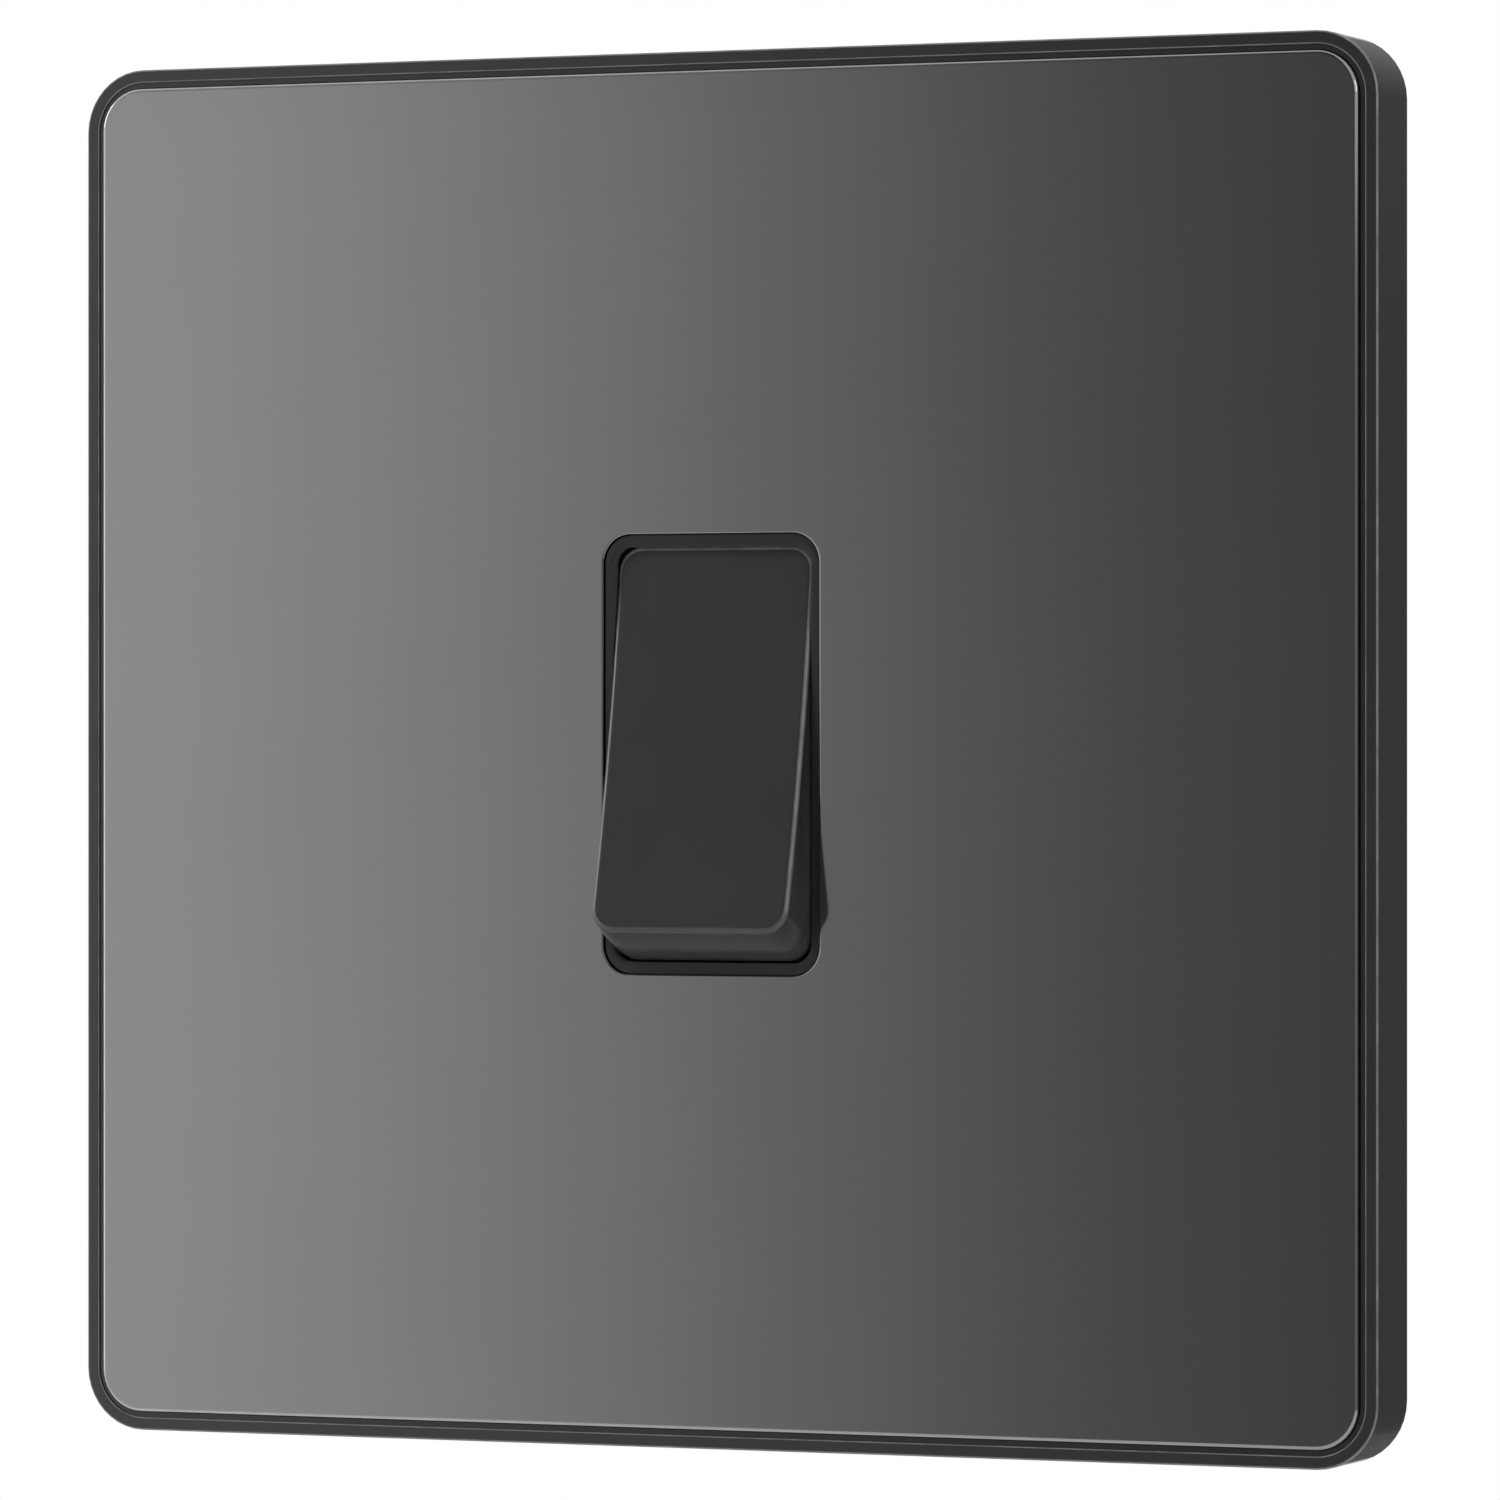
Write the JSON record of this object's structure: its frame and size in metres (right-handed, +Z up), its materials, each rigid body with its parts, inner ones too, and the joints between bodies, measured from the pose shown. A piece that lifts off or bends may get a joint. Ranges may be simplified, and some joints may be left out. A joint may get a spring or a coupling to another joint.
{
  "type": "rocker wall switch",
  "caption": "Flush rocker wall switch: a polished dark metal front clipped over a screwed support, with a rocker, a see-saw contact and wire terminals in a housing behind the wall.",
  "frame": {"origin": "centre of the wall box's front plane, midway between the two fixing screws, on the wall's surface", "axes": "+X to the right seen from the room, +Y into the wall, +Z up the wall"},
  "size_m": [0.095, 0.0338, 0.095],
  "materials": {
    "black_nickel_sheet": "polished black nickel plating",
    "black_moulding": "gloss moulded",
    "black_rocker_plastic": "satin gloss moulded",
    "grey_nylon": "matt moulded",
    "white_moulding": "matt moulded",
    "natural_nylon": "smooth moulded",
    "plated_steel": "bright zinc plating",
    "spring_steel": "drawn wire",
    "brass_block": "machined",
    "brass_strip": "stamped strip",
    "bronze_leaf": "rolled strip",
    "silver_contact": "polished silver alloy"
  },
  "bodies": {
    "base": {"support_frame": "grey_nylon", "fixing_screws": "plated_steel", "mechanism_housing": "white_moulding", "housing_screws": "plated_steel", "common_strap": "brass_strip", "first_way_strap": "brass_strip", "second_way_strap": "brass_strip", "fixed_contact_tips": "silver_contact", "common_terminal": "brass_block", "first_way_terminal": "brass_block", "second_way_terminal": "brass_block", "earth_terminal": "brass_block", "terminal_screws": "plated_steel", "earth_strap": "bronze_leaf"},
    "front_cover": {"front_plate": "black_nickel_sheet", "plate_frame": "black_moulding", "clip_tongues": "black_moulding"},
    "rocker": {"rocker": "black_rocker_plastic", "plunger_spring": "spring_steel"},
    "plunger": {"plunger": "natural_nylon"},
    "seesaw": {"moving_contact": "brass_strip", "moving_contact_tips": "silver_contact"}
  },
  "joints": [
    {"name": "rocker_hinge", "type": "hinge", "parent": "base", "child": "rocker", "pos_m": [0, -0.00255, -0.0003], "axis": [1, 0, 0], "range_deg": [0, 22.8]},
    {"name": "contact_tilt", "type": "hinge", "parent": "base", "child": "seesaw", "pos_m": [0, 0.0083, -0.0003], "axis": [1, 0, 0], "range_deg": [-15, 0]},
    {"name": "plunger_slide", "type": "slide", "parent": "rocker", "child": "plunger", "axis": [0, -0.9803, 0.1977], "range_m": [0, 0.0012], "stiffness_N_per_m": 800, "springref_m": -0.002, "deforming": ["plunger_spring"]},
    {"name": "cover_unclip", "type": "slide", "parent": "base", "child": "front_cover", "axis": [0, -1, 0], "range_m": [0, 0.03], "deforming": ["clip_tongues"]}
  ],
  "couplings": [
    {"joint": "contact_tilt", "follows": "rocker_hinge", "ratio": -0.65789}
  ]
}
